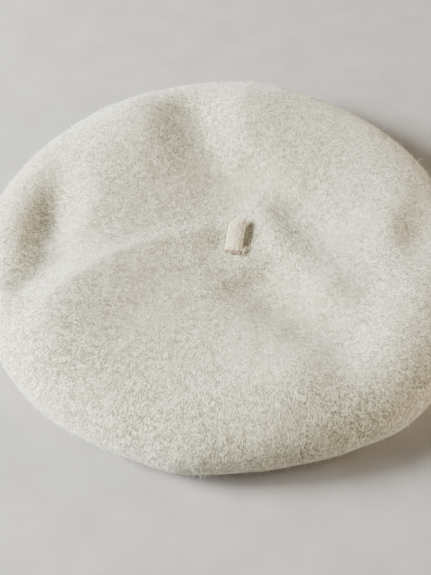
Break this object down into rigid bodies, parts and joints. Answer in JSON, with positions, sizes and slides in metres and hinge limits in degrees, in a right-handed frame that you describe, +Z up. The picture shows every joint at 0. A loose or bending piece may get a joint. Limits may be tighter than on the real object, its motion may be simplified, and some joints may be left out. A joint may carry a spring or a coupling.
{
  "type": "beret",
  "caption": "Soft round beret of fulled wool felt with a short flat stalk at its centre, laid flat with its head opening down.",
  "frame": {"origin": "middle of the underside, on the surface the beret lies on", "axes": "+Z up out of the crown, -Y the front, +X to the wearer's left; the head opening faces -Z"},
  "size_m": [0.28, 0.28, 0.034],
  "materials": {
    "wool_felt": "brushed fulled wool, matt with a soft nap",
    "stalk_felt": "dense pressed wool felt, matt",
    "wool_yarn": "two-ply wool yarn, half fulled",
    "thread": "spun polyester sewing thread",
    "grosgrain": "ribbed grosgrain ribbon, slight sheen",
    "elastic": "woven elastic tape",
    "label_satin": "blank woven satin label"
  },
  "bodies": {
    "hat": {"felt_body": "wool_felt", "linking_yarn": "wool_yarn", "stalk_root": "stalk_felt", "stalk_stitches": "thread", "sweatband": "grosgrain", "elastic_tape": "elastic", "band_stitches": "thread", "woven_label": "label_satin", "label_stitches": "thread", "care_label_tail": "label_satin"},
    "stalk_tab": {"stalk": "stalk_felt"},
    "care_loop": {"care_label": "label_satin"}
  },
  "joints": [
    {"name": "stalk_flex", "type": "hinge", "parent": "hat", "child": "stalk_tab", "pos_m": [0, 0, 0.0229], "axis": [0.9903, -0.1392, 0], "range_deg": [-3, 150], "stiffness_Nm_per_rad": 0.002},
    {"name": "care_label_flap", "type": "hinge", "parent": "hat", "child": "care_loop", "pos_m": [-0.09155, 0, 0.01585], "axis": [0, 1, 0], "range_deg": [-10, 35], "stiffness_Nm_per_rad": 0.0006}
  ]
}
